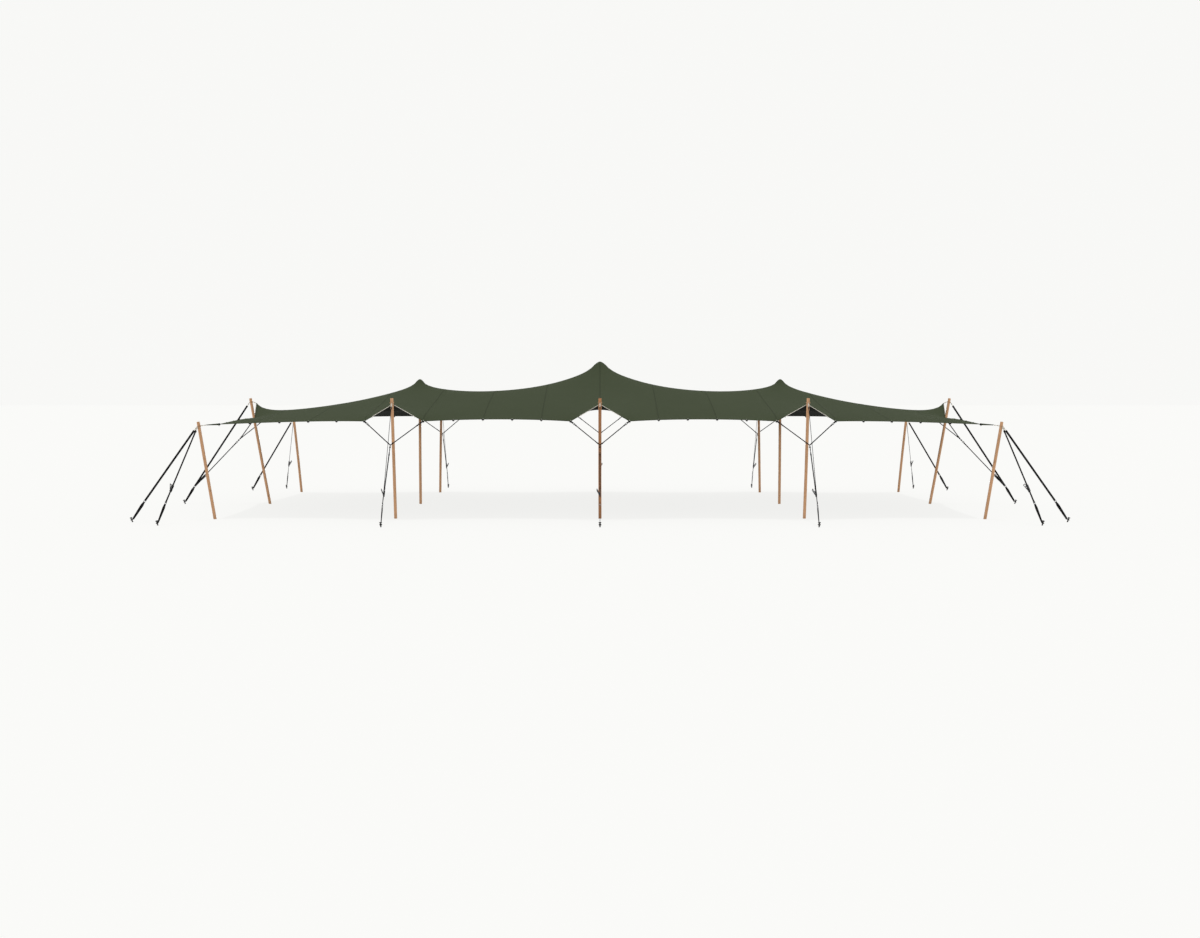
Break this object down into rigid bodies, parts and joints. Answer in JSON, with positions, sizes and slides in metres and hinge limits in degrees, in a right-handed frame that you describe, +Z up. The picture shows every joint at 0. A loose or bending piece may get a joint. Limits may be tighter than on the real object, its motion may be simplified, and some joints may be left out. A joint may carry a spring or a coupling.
{
  "type": "stretch tent",
  "caption": "Olive stretch tent: one sheet over three tall inner poles, leaning perimeter poles, webbing guys with ratchets and bridles, and ground stakes.",
  "frame": {"origin": "foot of the centre pole, on the ground", "axes": "+X along the tent's long side, +Y to the back, +Z up"},
  "size_m": [23.8366, 14.9966, 4.053],
  "materials": {
    "canopy_fabric": "matt olive green stretch fabric, panels sewn with flat seams",
    "pole_wood": "bare round timber, slightly weathered",
    "webbing": "black woven webbing",
    "rope": "pale braided rope",
    "dark_rope": "dark braided rope",
    "fittings": "zinc plated steel",
    "hem_fittings": "black moulded plastic",
    "stake_steel": "worn steel, dull"
  },
  "bodies": {
    "root": {"back_left_corner_guys": "webbing", "back_left_corner_pole": "pole_wood", "back_left_corner_stake_1": "stake_steel", "back_left_corner_stake_2": "stake_steel", "back_left_guy": "webbing", "back_left_pole": "pole_wood", "back_left_stake": "stake_steel", "back_middle_guy": "webbing", "back_middle_pole": "pole_wood", "back_middle_stake": "stake_steel", "back_right_corner_guys": "webbing", "back_right_corner_pole": "pole_wood", "back_right_corner_stake_1": "stake_steel", "back_right_corner_stake_2": "stake_steel", "back_right_guy": "webbing", "back_right_pole": "pole_wood", "back_right_stake": "stake_steel", "canopy": "canopy_fabric", "centre_pole": "pole_wood", "front_left_corner_guys": "webbing", "front_left_corner_pole": "pole_wood", "front_left_corner_stake_1": "stake_steel", "front_left_corner_stake_2": "stake_steel", "front_left_guy": "webbing", "front_left_pole": "pole_wood", "front_left_stake": "stake_steel", "front_middle_guy": "webbing", "front_middle_pole": "pole_wood", "front_middle_stake": "stake_steel", "front_right_corner_guys": "webbing", "front_right_corner_pole": "pole_wood", "front_right_corner_stake_1": "stake_steel", "front_right_corner_stake_2": "stake_steel", "front_right_guy": "webbing", "front_right_pole": "pole_wood", "front_right_stake": "stake_steel", "left_inner_pole": "pole_wood", "left_side_guy": "webbing", "left_side_pole": "pole_wood", "left_side_stake": "stake_steel", "right_inner_pole": "pole_wood", "right_side_guy": "webbing", "right_side_pole": "pole_wood", "right_side_stake": "stake_steel"}
  },
  "joints": []
}
